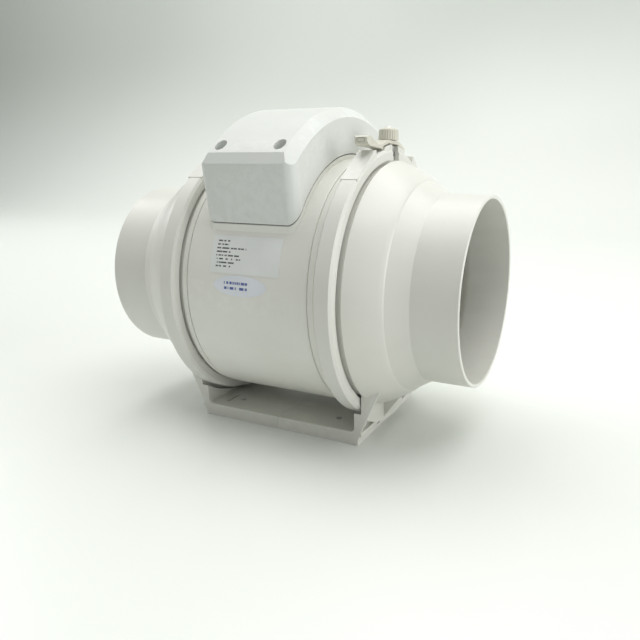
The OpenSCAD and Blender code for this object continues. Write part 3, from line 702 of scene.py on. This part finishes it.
FINISHES: dict[str, object] = {
    "housing_plastic": Plastic("housing_white", (0.74, 0.735, 0.69), (0.7, 0.695, 0.645), 0.33),
    "casing_plastic": Plastic("casing_white", (0.8, 0.795, 0.745), (0.76, 0.755, 0.7), 0.33),
    "cover_plastic": Plastic("cover_white", (0.71, 0.725, 0.705), (0.68, 0.695, 0.67), 0.4, grain=0.0007),
    "band_plastic": Plastic("band_white", (0.75, 0.745, 0.705), (0.71, 0.705, 0.66), 0.35),
    "clip_plastic": Plastic("clip_cream", (0.68, 0.665, 0.59), (0.62, 0.6, 0.52), 0.42, wear=0.5),
    "knob_plastic": Plastic("knob_cream", (0.68, 0.665, 0.59), (0.61, 0.595, 0.51), 0.42, wear=0.5),
    "inner_plastic": Plastic("inner_white", (0.66, 0.65, 0.6), (0.6, 0.59, 0.54), 0.42),
    "zinc_steel": Metal("zinc_plate", (0.66, 0.67, 0.68), (0.5, 0.5, 0.49), 0.3),
    "shaft_steel": Metal("ground_steel", (0.6, 0.6, 0.6), (0.48, 0.48, 0.48), 0.22),
    "bearing_steel": Metal("bearing_steel", (0.55, 0.56, 0.57), (0.42, 0.42, 0.43), 0.2),
    "core_steel": Metal("core_plates", (0.36, 0.36, 0.37), (0.2, 0.19, 0.18), 0.45, depth=0.00003),
    "winding_copper": Winding("wound_copper", (0.6, 0.26, 0.11), (0.12, 0.045, 0.02)),
    "seal_rubber": Rubber("seal_rubber", (0.035, 0.035, 0.037)),
    "terminal_plastic": Plastic("terminal_cream", (0.72, 0.69, 0.6), (0.66, 0.62, 0.53), 0.36),
    "terminal_brass": Metal("terminal_brass", (0.62, 0.46, 0.2), (0.45, 0.32, 0.14), 0.32),
    "capacitor_plastic": Plastic("capacitor_white", (0.7, 0.7, 0.68), (0.64, 0.64, 0.62), 0.3),
    "gland_plastic": Plastic("gland_grey", (0.62, 0.63, 0.6), (0.56, 0.57, 0.54), 0.45),
    "lead_plastic": Plastic("lead_sheath", (0.66, 0.66, 0.63), (0.6, 0.6, 0.57), 0.5, grain=0.0011),
    "label_film": PrintedFilm(
        "rating_film", (0.83, 0.84, 0.83), (0.09, 0.09, 0.1), 10.5, 1, 8, 0.07, 0.52, 7.0, 0.42
    ),
    "sticker_film": PrintedFilm(
        "test_film", (0.8, 0.82, 0.88), (0.09, 0.13, 0.36), 4.0, 1, 2, 0.2, 0.92, 6.0, 0.5
    ),
}


class Wardrobe:
    """Builds each finish once and dresses nodes and pieces with it."""

    def __init__(self, record: dict) -> None:
        """Reads which slot each node has.

        Args:
            record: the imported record.
        """
        self.slots = {s["node"]: s["material_slot"] for s in record["subparts"]}
        self.bodies = {n: b for b, ns in record["behaviour"]["bodies"].items() for n in ns}
        self.made: dict[str, bpy.types.Material] = {}

    def material(self, slot: str) -> bpy.types.Material:
        """The material of a slot, built when it is first asked for."""
        if slot not in self.made:
            self.made[slot] = FINISHES[slot].build()
        return self.made[slot]

    def dress_nodes(self, nodes: dict[str, bpy.types.Object]) -> None:
        """Gives every CAD node its finish.

        Args:
            nodes: the CAD nodes by name.
        """
        for name, node in nodes.items():
            node.data.materials.clear()
            node.data.materials.append(self.material(self.slots[name]))

    def fit(self, piece: bpy.types.Object, node: str, hides: bool = True) -> bpy.types.Object:
        """Dresses a piece like a node, rides it on the node's body and hides the node.

        Args:
            piece: the new piece.
            node: the CAD node that it belongs to.
            hides: whether the piece stands for the node.

        Returns:
            The same piece.
        """
        slot = self.slots[node]
        piece.data.materials.clear()
        piece.data.materials.append(self.material(slot))
        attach(piece, self.bodies[node])
        if hides:
            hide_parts(node)
        LOG.info("%s: %d faces on %s", piece.name, len(piece.data.polygons), self.bodies[node])
        return piece


# ---- mesh tools ----


def mesh_piece(name: str, points: Sequence[Point], faces: Sequence[Sequence[int]]) -> bpy.types.Object:
    """Makes a smooth-shaded mesh object in the row frame.

    Args:
        name: the piece's name.
        points: its vertices.
        faces: its faces as vertex numbers.

    Returns:
        The new object.
    """
    mesh = bpy.data.meshes.new(name)
    mesh.from_pydata([tuple(p) for p in points], [], faces)
    mesh.validate()
    made = bpy.data.objects.new(name, mesh)
    bpy.context.scene.collection.objects.link(made)
    outward(mesh)
    return made


def outward(mesh: bpy.types.Mesh, smooth: float = math.radians(32)) -> None:
    """Turns a mesh's faces outward and shades it smooth up to an angle.

    Args:
        mesh: the mesh.
        smooth: the widest angle between faces that stays smooth.
    """
    work = bmesh.new()
    work.from_mesh(mesh)
    bmesh.ops.recalc_face_normals(work, faces=work.faces)
    for edge in work.edges:
        edge.smooth = not edge.is_manifold or edge.calc_face_angle(0.0) < smooth
    for face in work.faces:
        face.smooth = True
    work.to_mesh(mesh)
    work.free()


def apply_modifiers(piece: bpy.types.Object) -> None:
    """Puts a piece's modifiers into its mesh.

    Args:
        piece: the object.
    """
    bpy.context.view_layer.update()
    graph = bpy.context.evaluated_depsgraph_get()
    mesh = bpy.data.meshes.new_from_object(piece.evaluated_get(graph))
    piece.modifiers.clear()
    old = piece.data
    piece.data = mesh
    bpy.data.meshes.remove(old)


def carve(piece: bpy.types.Object, other: bpy.types.Object, operation: str = "DIFFERENCE") -> None:
    """Cuts or joins one solid with another and removes the other.

    Args:
        piece: the solid that stays.
        other: the solid that cuts or is added.
        operation: the Boolean modifier's operation.
    """
    step = piece.modifiers.new("carve", "BOOLEAN")
    step.operation = operation
    step.solver = "EXACT"
    step.object = other
    apply_modifiers(piece)
    bpy.data.objects.remove(other)


@dataclass(frozen=True)
class Rounding:
    """How a machined-looking solid gets its moulded edges.

    Attributes:
        width: width of the rounding.
        steps: faces across it.
        angle: smallest angle between faces that is rounded, in degrees.
        fine: share of the width that edges away from the outer skin get.
        spots: (x, y, radius) places whose edges also get the fine width.
        skin_z: height above which an edge may belong to the outer skin, or None for all edges.
    """

    width: float = 0.0005
    steps: int = 2
    angle: float = 34.0
    fine: float = 1.0
    spots: tuple[Point, ...] = ()
    skin_z: float | None = None

    def weigh(self, work: bmesh.types.BMesh) -> None:
        """Gives each sharp edge its share of the rounding's width.

        Args:
            work: the solid.
        """
        layer = work.edges.layers.float.new("bevel_weight_edge")
        limit = math.radians(self.angle)
        low = min(v.co.y for v in work.verts)
        high = max(v.co.y for v in work.verts)
        side = max(abs(v.co.x) for v in work.verts)
        for edge in work.edges:
            if not edge.is_manifold or edge.calc_face_angle(0.0) < limit:
                continue
            middle = (edge.verts[0].co + edge.verts[1].co) / 2
            away = any(math.hypot(middle.x - x, middle.y - y) < r for x, y, r in self.spots)
            inner = (
                self.skin_z is not None
                and abs(middle.x) < side - 0.009
                and low + 0.011 < middle.y < high - 0.011
            )
            under = self.skin_z is not None and middle.z < self.skin_z
            edge[layer] = self.fine if away or inner or under else 1.0

    def copy_of(self, node: str, name: str) -> bpy.types.Object:
        """Copies a CAD node's solid with rounded edges.

        Args:
            node: the CAD node.
            name: the new piece's name.

        Returns:
            The new object.
        """
        work = bmesh.new()
        work.from_mesh(frame["nodes"][node].data)
        bmesh.ops.remove_doubles(work, verts=work.verts, dist=1e-6)
        bmesh.ops.dissolve_limit(
            work, angle_limit=math.radians(0.4), verts=work.verts, edges=work.edges, delimit={"NORMAL"}
        )
        self.weigh(work)
        mesh = bpy.data.meshes.new(name)
        work.to_mesh(mesh)
        work.free()
        made = bpy.data.objects.new(name, mesh)
        bpy.context.scene.collection.objects.link(made)
        bevel = made.modifiers.new("round", "BEVEL")
        bevel.width = self.width
        bevel.segments = self.steps
        bevel.limit_method = "WEIGHT"
        bevel.use_clamp_overlap = True
        bevel.miter_outer = "MITER_ARC"
        bevel.harden_normals = False
        apply_modifiers(made)
        for face in made.data.polygons:
            face.use_smooth = True
        steady = made.modifiers.new("normals", "WEIGHTED_NORMAL")
        steady.keep_sharp = True
        steady.weight = 60
        outward(made.data, math.radians(30))
        apply_modifiers(made)
        return made


# ---- the studio ----


@dataclass(frozen=True)
class Softbox:
    """One area light.

    Attributes:
        name: the light's name.
        place: where it stands.
        aim: what it points at.
        size: its width and height.
        power: its power in watts.
        colour: its colour.
    """

    name: str
    place: Point
    aim: Point
    size: tuple[float, float]
    power: float
    colour: Colour = (1.0, 1.0, 1.0)

    def build(self) -> None:
        """Adds the light to the scene."""
        data = bpy.data.lights.new(self.name, "AREA")
        data.shape = "RECTANGLE"
        data.size, data.size_y = self.size
        data.energy = self.power
        data.color = self.colour
        made = bpy.data.objects.new(self.name, data)
        made.location = self.place
        made.rotation_euler = (Vector(self.aim) - Vector(self.place)).to_track_quat("-Z", "Y").to_euler()
        bpy.context.scene.collection.objects.link(made)


@dataclass
class Studio:
    """The table, its backdrop, the lights and the camera.

    Attributes:
        target: the point that the camera looks at.
        azimuth: the camera's turn to the right, in degrees.
        elevation: its height angle, in degrees.
        distance: its distance from the target.
        roll: its roll, in degrees.
        lens: its focal length in millimetres.
        back_y: where the backdrop starts to rise.
        bend: radius of the backdrop's sweep.
        lights: the softboxes.
    """

    target: Point = (0.00822, 0.0, 0.0676)
    azimuth: float = 28.78
    elevation: float = 15.75
    distance: float = 0.4959
    roll: float = -1.38
    lens: float = 37.88
    back_y: float = 0.85
    bend: float = 0.6
    lights: list[Softbox] = field(
        default_factory=lambda: [
            Softbox("overhead", (0.1, 0.25, 1.5), (0.0, 0.0, 0.1), (2.0, 1.6), 26.0, (1.0, 1.0, 0.985)),
            Softbox("left_window", (-1.3, 0.1, 0.9), (0.0, 0.0, 0.1), (0.9, 0.9), 4.0),
            Softbox("right_window", (1.3, 0.0, 0.4), (0.0, 0.0, 0.1), (0.8, 0.8), 6.5),
            Softbox("left_wall", (-1.5, 0.3, 1.0), (-0.9, 1.5, 0.5), (0.9, 0.9), 6.0),
        ]
    )

    def build(self) -> None:
        """Builds the whole studio."""
        self.build_sweep()
        for light in self.lights:
            light.build()
        self.build_world()
        self.build_camera()
        bpy.context.scene.view_settings.view_transform = "Standard"

    def build_sweep(self) -> None:
        """Builds the floor and the backdrop as one curved sheet."""
        line = [(-2.2, 0.0), (self.back_y, 0.0)]
        for i in range(1, 17):
            turn = math.radians(90 * i / 16)
            line.append((self.back_y + self.bend * math.sin(turn), self.bend * (1 - math.cos(turn))))
        line.append((self.back_y + self.bend, 2.4))
        points = [(x, y, z) for y, z in line for x in (-3.0, 3.0)]
        faces = [(2 * i, 2 * i + 1, 2 * i + 3, 2 * i + 2) for i in range(len(line) - 1)]
        sweep = mesh_piece("studio_sweep", points, faces)
        sheet, shader = fresh_material("studio_paper")
        spot = sheet.node("TexCoord").outputs["Object"]
        parts = sheet.node("SeparateXYZ")
        sheet.feed(parts.inputs[0], spot)
        table, wall = (0.8, 0.82, 0.79), (0.56, 0.59, 0.55)
        base = sheet.mix(sheet.ramp(parts.outputs["Z"], 0.0, 0.5), table, wall)
        cloud = sheet.math("MULTIPLY", sheet.noise(spot, 3.0, 2.0), 0.05)
        sheet.feed(shader.inputs["Base Color"], sheet.mix(cloud, base, (0.5, 0.52, 0.5)))
        sheet.feed(shader.inputs["Roughness"], sheet.math("MULTIPLY_ADD", sheet.noise(spot, 9.0), 0.1, 0.3))
        sweep.data.materials.append(sheet.material)

    def build_world(self) -> None:
        """Gives the room its even light."""
        world = bpy.data.worlds.new("room")
        world.use_nodes = True
        back = world.node_tree.nodes["Background"]
        back.inputs["Color"].default_value = (0.93, 0.97, 0.93, 1.0)
        back.inputs["Strength"].default_value = 0.34
        bpy.context.scene.world = world

    def build_camera(self) -> None:
        """Stands the camera at its azimuth, elevation and distance."""
        a, e = math.radians(self.azimuth), math.radians(self.elevation)
        out = Vector((math.sin(a) * math.cos(e), -math.cos(a) * math.cos(e), math.sin(e)))
        data = bpy.data.cameras.new("studio_camera")
        data.lens = self.lens
        data.sensor_width = 36.0
        data.clip_start = 0.01
        camera = bpy.data.objects.new("studio_camera", data)
        turn = (-out).to_track_quat("-Z", "Y").to_matrix().to_4x4()
        camera.matrix_world = (
            Matrix.Translation(Vector(self.target) + out * self.distance)
            @ turn
            @ Matrix.Rotation(math.radians(self.roll), 4, "Z")
        )
        bpy.context.scene.collection.objects.link(camera)
        bpy.context.scene.camera = camera


# ---- pieces ----


@dataclass
class MouldedParts:
    """The solids that keep their CAD shape and only gain moulded edges.

    Attributes:
        wardrobe: the finishes.
        roundings: the rounding of each node.
    """

    wardrobe: Wardrobe
    roundings: dict[str, Rounding] = field(
        default_factory=lambda: {
            "inlet_housing": Rounding(0.0006),
            "outlet_housing": Rounding(0.0006),
            "motor_casing": Rounding(0.0005),
            "terminal_cover": Rounding(
                0.0026,
                4,
                20.0,
                0.12,
                tuple((x, y, WELL_REACH) for x in (-WELL_X, WELL_X) for y in WELL_YS),
                0.16,
            ),
            "cover_screws": Rounding(0.0002),
            "cable_gland": Rounding(0.0005),
            "inlet_front_band": Rounding(0.0005),
            "inlet_rear_band": Rounding(0.0005),
            "outlet_front_band": Rounding(0.0005),
            "outlet_rear_band": Rounding(0.0005),
            "inlet_lock_nut": Rounding(0.0002),
            "outlet_lock_nut": Rounding(0.0002),
            "motor_end_cover": Rounding(0.0004),
            "impeller_nut": Rounding(0.0003),
        }
    )

    def build(self) -> None:
        """Builds and dresses every rounded copy."""
        for node, rounding in self.roundings.items():
            piece = rounding.copy_of(node, node + "_moulded")
            self.wardrobe.fit(piece, node)


@dataclass(frozen=True)
class PrintedCopy:
    """A label that keeps its curved film and gains a map for its print.

    Attributes:
        node: the CAD node of the film.
    """

    node: str

    def build(self, wardrobe: Wardrobe) -> None:
        """Copies the film and lays the print over its width and height.

        Args:
            wardrobe: the finishes.
        """
        mesh = frame["nodes"][self.node].data.copy()
        mesh.name = self.node + "_film"
        low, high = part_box(self.node)
        layer = mesh.uv_layers.new(name="Print")
        for loop in mesh.loops:
            spot = mesh.vertices[loop.vertex_index].co
            layer.data[loop.index].uv = (
                (spot.x - low.x) / (high.x - low.x),
                (spot.z - low.z) / (high.z - low.z),
            )
        piece = bpy.data.objects.new(self.node + "_film", mesh)
        bpy.context.scene.collection.objects.link(piece)
        wardrobe.fit(piece, self.node)


@dataclass
class ClampLatch:
    """The clip, knob and bolt that close one clamp, modelled in the clamp's own frame.

    Attributes:
        side: which clamp.
        layout: the shared places.
        wardrobe: the finishes.
        knob_r: radius of the knob at its foot, in millimetres.
        flutes: number of flutes round the knob.
        flute_depth: depth of a flute.
        bolt_r: radius of the bolt.
        pitch: pitch of its thread.
    """

    side: Side
    layout: Layout
    wardrobe: Wardrobe
    knob_r: float = 6.7
    flutes: int = 26
    flute_depth: float = 0.34
    bolt_r: float = 2.0
    pitch: float = 0.7

    def span(self, node: str) -> tuple[float, float]:
        """Lowest and highest place of a node along the clamp's bolt, in millimetres.

        Args:
            node: the part's name without its side.

        Returns:
            Both heights above the fan's axis.
        """
        back = self.layout.clamp(self.side).inverted()
        heights = [(back @ v.co).z / MM for v in frame["nodes"][f"{self.side.word}_{node}"].data.vertices]
        return min(heights), max(heights)

    def put(self, name: str, points: Sequence[Point], faces: Sequence[Sequence[int]], node: str) -> None:
        """Places a piece made in the clamp's frame and fits it to its node.

        Args:
            name: the piece's name without its side.
            points: its vertices in millimetres.
            faces: its faces.
            node: the part's name without its side.
        """
        place = self.layout.clamp(self.side)
        piece = mesh_piece(f"{self.side.word}_{name}", [place @ (Vector(p) * MM) for p in points], faces)
        self.wardrobe.fit(piece, f"{self.side.word}_{node}")

    def build(self) -> None:
        """Builds the three parts."""
        self.build_knob()
        self.build_bolt()
        self.build_clip()

    def build_knob(self) -> None:
        """Turns the fluted knob with its domed top, its bore and the insert's pocket."""
        foot, top = self.span("knob")
        insert = 3.63
        shoulder = foot + 6.7
        profile = [
            (insert, foot, 0.0),
            (self.knob_r - 0.5, foot, 0.0),
            (self.knob_r, foot + 0.3, 0.6),
            (self.knob_r, foot + 0.7, 1.0),
            (self.knob_r - 0.25, shoulder - 1.0, 1.0),
            (self.knob_r - 0.3, shoulder - 0.35, 0.7),
            (self.knob_r - 0.55, shoulder, 0.15),
            (self.knob_r - 0.95, shoulder + 0.3, 0.0),
        ]
        rise = top - shoulder - 0.3
        for share in (0.82, 0.66, 0.52, 0.42, 0.36):
            height = shoulder + 0.3 + rise * (1 - (share / 0.86) ** 2) / 0.83
            profile.append((self.knob_r * share, height, 0.0))
        profile += [(2.08, top - 0.1, 0.0), (2.08, shoulder - 1.1, 0.0), (insert, shoulder - 1.1, 0.0)]
        count = self.flutes * 6
        points = []
        for radius, height, share in profile:
            for i in range(count):
                wave = 0.5 - 0.5 * math.cos(2 * math.pi * i / 6)
                r = radius - self.flute_depth * share * wave**0.7
                turn = 2 * math.pi * i / count
                points.append((r * math.cos(turn), r * math.sin(turn), height))
        rows = len(profile)
        faces = [
            (a * count + i, a * count + (i + 1) % count, b * count + (i + 1) % count, b * count + i)
            for a in range(rows)
            for b in [(a + 1) % rows]
            for i in range(count)
        ]
        self.put("knob_fluted", points, faces, "knob")

    def build_bolt(self) -> None:
        """Cuts the bolt's helical thread and adds its flat head."""
        low, high = self.span("bolt")
        count, fine = 24, 5
        rows = int((high - low - 0.5) / self.pitch * fine)
        points = []
        for k in range(rows + 1):
            height = low + (high - low - 0.5) * k / rows
            for i in range(count):
                phase = (height / self.pitch - i / count) % 1.0
                crest = 1 - abs(2 * phase - 1)
                r = self.bolt_r - 0.03 - 0.32 * (1 - crest)
                turn = 2 * math.pi * i / count
                points.append((r * math.cos(turn), r * math.sin(turn), height))
        for i in range(count):
            turn = 2 * math.pi * i / count
            points.append((1.35 * math.cos(turn), 1.35 * math.sin(turn), high))
        rows += 1
        faces = [
            (
                k * count + i,
                k * count + (i + 1) % count,
                (k + 1) * count + (i + 1) % count,
                (k + 1) * count + i,
            )
            for k in range(rows)
            for i in range(count)
        ]
        faces.append(tuple(range(count)))
        faces.append(tuple(rows * count + i for i in range(count)))
        start = len(points)
        for x, y, z in [(x, y, z) for z in (low, low + 1.4) for x in (-2.4, 2.4) for y in (-7.4, 7.4)]:
            points.append((x, y, z))
        box = [(0, 1, 3, 2), (4, 6, 7, 5), (0, 4, 5, 1), (2, 3, 7, 6), (0, 2, 6, 4), (1, 5, 7, 3)]
        faces += [tuple(start + i for i in face) for face in box]
        self.put("bolt_threaded", points, faces, "bolt")

    def build_clip(self) -> None:
        """Rounds the clip, narrows its lever's end in plan and engraves its thumb pad."""
        name = f"{self.side.word}_clip"
        place = self.layout.clamp(self.side)
        flip = 1.0 if self.side is Side.OUTLET else -1.0
        back = place.inverted()
        piece = Rounding(0.0006, 3).copy_of(name, name + "_moulded")
        work = bmesh.new()
        work.from_mesh(piece.data)
        work.transform(back)
        cuts = [((0, -flip * (26.0 + 1.4 * i) * MM, 0), (0, 1, 0)) for i in range(13)]
        cuts += [((x * MM, 0, 0), (1, 0, 0)) for x in (-3.0, -1.8, -0.6, 0.6, 1.8, 3.0)]
        cuts += [((0, 0, (88.4 + 1.1 * i) * MM), (0, 0, 1)) for i in range(7)]
        for spot, normal in cuts:
            near = [f for f in work.faces if -flip * f.calc_center_median().y > 24 * MM]
            edges = {e for f in near for e in f.edges}
            verts = {v for f in near for v in f.verts}
            bmesh.ops.bisect_plane(
                work, geom=[*verts, *edges, *near], plane_co=spot, plane_no=normal, dist=0.05 * MM
            )
        lever = [v for v in work.verts if -flip * v.co.y > 29 * MM]
        for vertex in lever:
            reach = min((-flip * vertex.co.y / MM - 29) / 14.3, 1.0)
            vertex.co.x *= 1 + 0.2 * math.sin(math.pi * min(reach * 0.85, 1.0))
        for _ in range(7):
            bmesh.ops.smooth_vert(
                work, verts=lever, factor=0.5, use_axis_x=True, use_axis_y=True, use_axis_z=True
            )
        work.transform(place)
        work.to_mesh(piece.data)
        work.free()
        outward(piece.data, math.radians(30))
        self.engrave(piece, place, flip)
        outward(piece.data, math.radians(30))
        self.wardrobe.fit(piece, name)

    def engrave(self, piece: bpy.types.Object, place: Matrix, flip: float) -> None:
        """Engraves a rounded outline into the lever's thumb pad.

        Args:
            piece: the clip.
            place: the clamp's matrix.
            flip: 1 where the lever points to -Y, -1 where it points to +Y.
        """
        low, high = 90.7, 93.7
        loops = []
        for grow in (0.0, -0.34):
            half, rise = 2.7 + grow, (high - low) / 2 + grow
            corner = 0.9 + grow * 0.5
            for depth in (-46.0, -42.0):
                ring = []
                for i in range(24):
                    turn = 2 * math.pi * (i + 0.5) / 24
                    cx = math.copysign(half - corner, math.cos(turn)) + corner * math.cos(turn)
                    cz = math.copysign(rise - corner, math.sin(turn)) + corner * math.sin(turn)
                    ring.append(Vector((cx, flip * depth, (low + high) / 2 + cz)) * MM)
                loops.append(ring)
        points = [place @ p for ring in loops for p in ring]
        pairs = [(0, 1), (1, 3), (3, 2), (2, 0)]
        faces = [
            (a * 24 + i, a * 24 + (i + 1) % 24, b * 24 + (i + 1) % 24, b * 24 + i)
            for a, b in pairs
            for i in range(24)
        ]
        carve(piece, mesh_piece("outline_cutter", points, faces))


@dataclass(frozen=True)
class FrontMark:
    """The small raised oval outline, low on the front of the terminal cover.

    Attributes:
        height: its height above the floor, in metres.
        half_w: half of its width.
        half_h: half of its height.
        line: radius of its rounded line.
    """

    height: float = 0.154
    half_w: float = 0.0009
    half_h: float = 0.0027
    line: float = 0.00028

    def build(self, wardrobe: Wardrobe) -> None:
        """Lays the outline on the cover's front face.

        Args:
            wardrobe: the finishes.
        """
        solid = bmesh.new()
        solid.from_mesh(frame["nodes"]["terminal_cover"].data)
        tree = BVHTree.FromBMesh(solid)
        spot, normal, _, _ = tree.ray_cast(Vector((0, -0.2, self.height)), Vector((0, 1, 0)))
        solid.free()
        if spot is None:
            raise ValueError("no cover face behind the front mark")
        up = (Vector((0, 0, 1)) - normal * normal.z).normalized()
        right = Vector((1, 0, 0))
        points, faces, count, sides = [], [], 36, 8
        for i in range(count):
            turn = 2 * math.pi * i / count
            centre = spot + right * (self.half_w * math.cos(turn)) + up * (self.half_h * math.sin(turn))
            out = (right * math.cos(turn) / self.half_w + up * math.sin(turn) / self.half_h).normalized()
            for k in range(sides):
                lean = 2 * math.pi * k / sides
                points.append(centre + (out * math.cos(lean) + normal * math.sin(lean)) * self.line)
        for i in range(count):
            for k in range(sides):
                a, b = i * sides, (i + 1) % count * sides
                faces.append((a + k, a + (k + 1) % sides, b + (k + 1) % sides, b + k))
        wardrobe.fit(mesh_piece("cover_front_mark", points, faces), "terminal_cover", hides=False)


def main() -> None:
    """Builds the studio and every piece in order."""
    logging.basicConfig(level=logging.INFO, format="%(name)s %(message)s")
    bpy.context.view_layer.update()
    wardrobe = Wardrobe(frame["record"])
    wardrobe.dress_nodes(frame["nodes"])
    layout = Layout.read()
    LOG.info("axis at %.4f, joints at %.4f", layout.axis_z, layout.joint_x)
    MouldedParts(wardrobe).build()
    for side in Side:
        ClampLatch(side, layout, wardrobe).build()
    for label in ("rating_label", "test_sticker"):
        PrintedCopy(label).build(wardrobe)
    FrontMark().build(wardrobe)
    Studio().build()


if __name__ == "__main__":
    main()
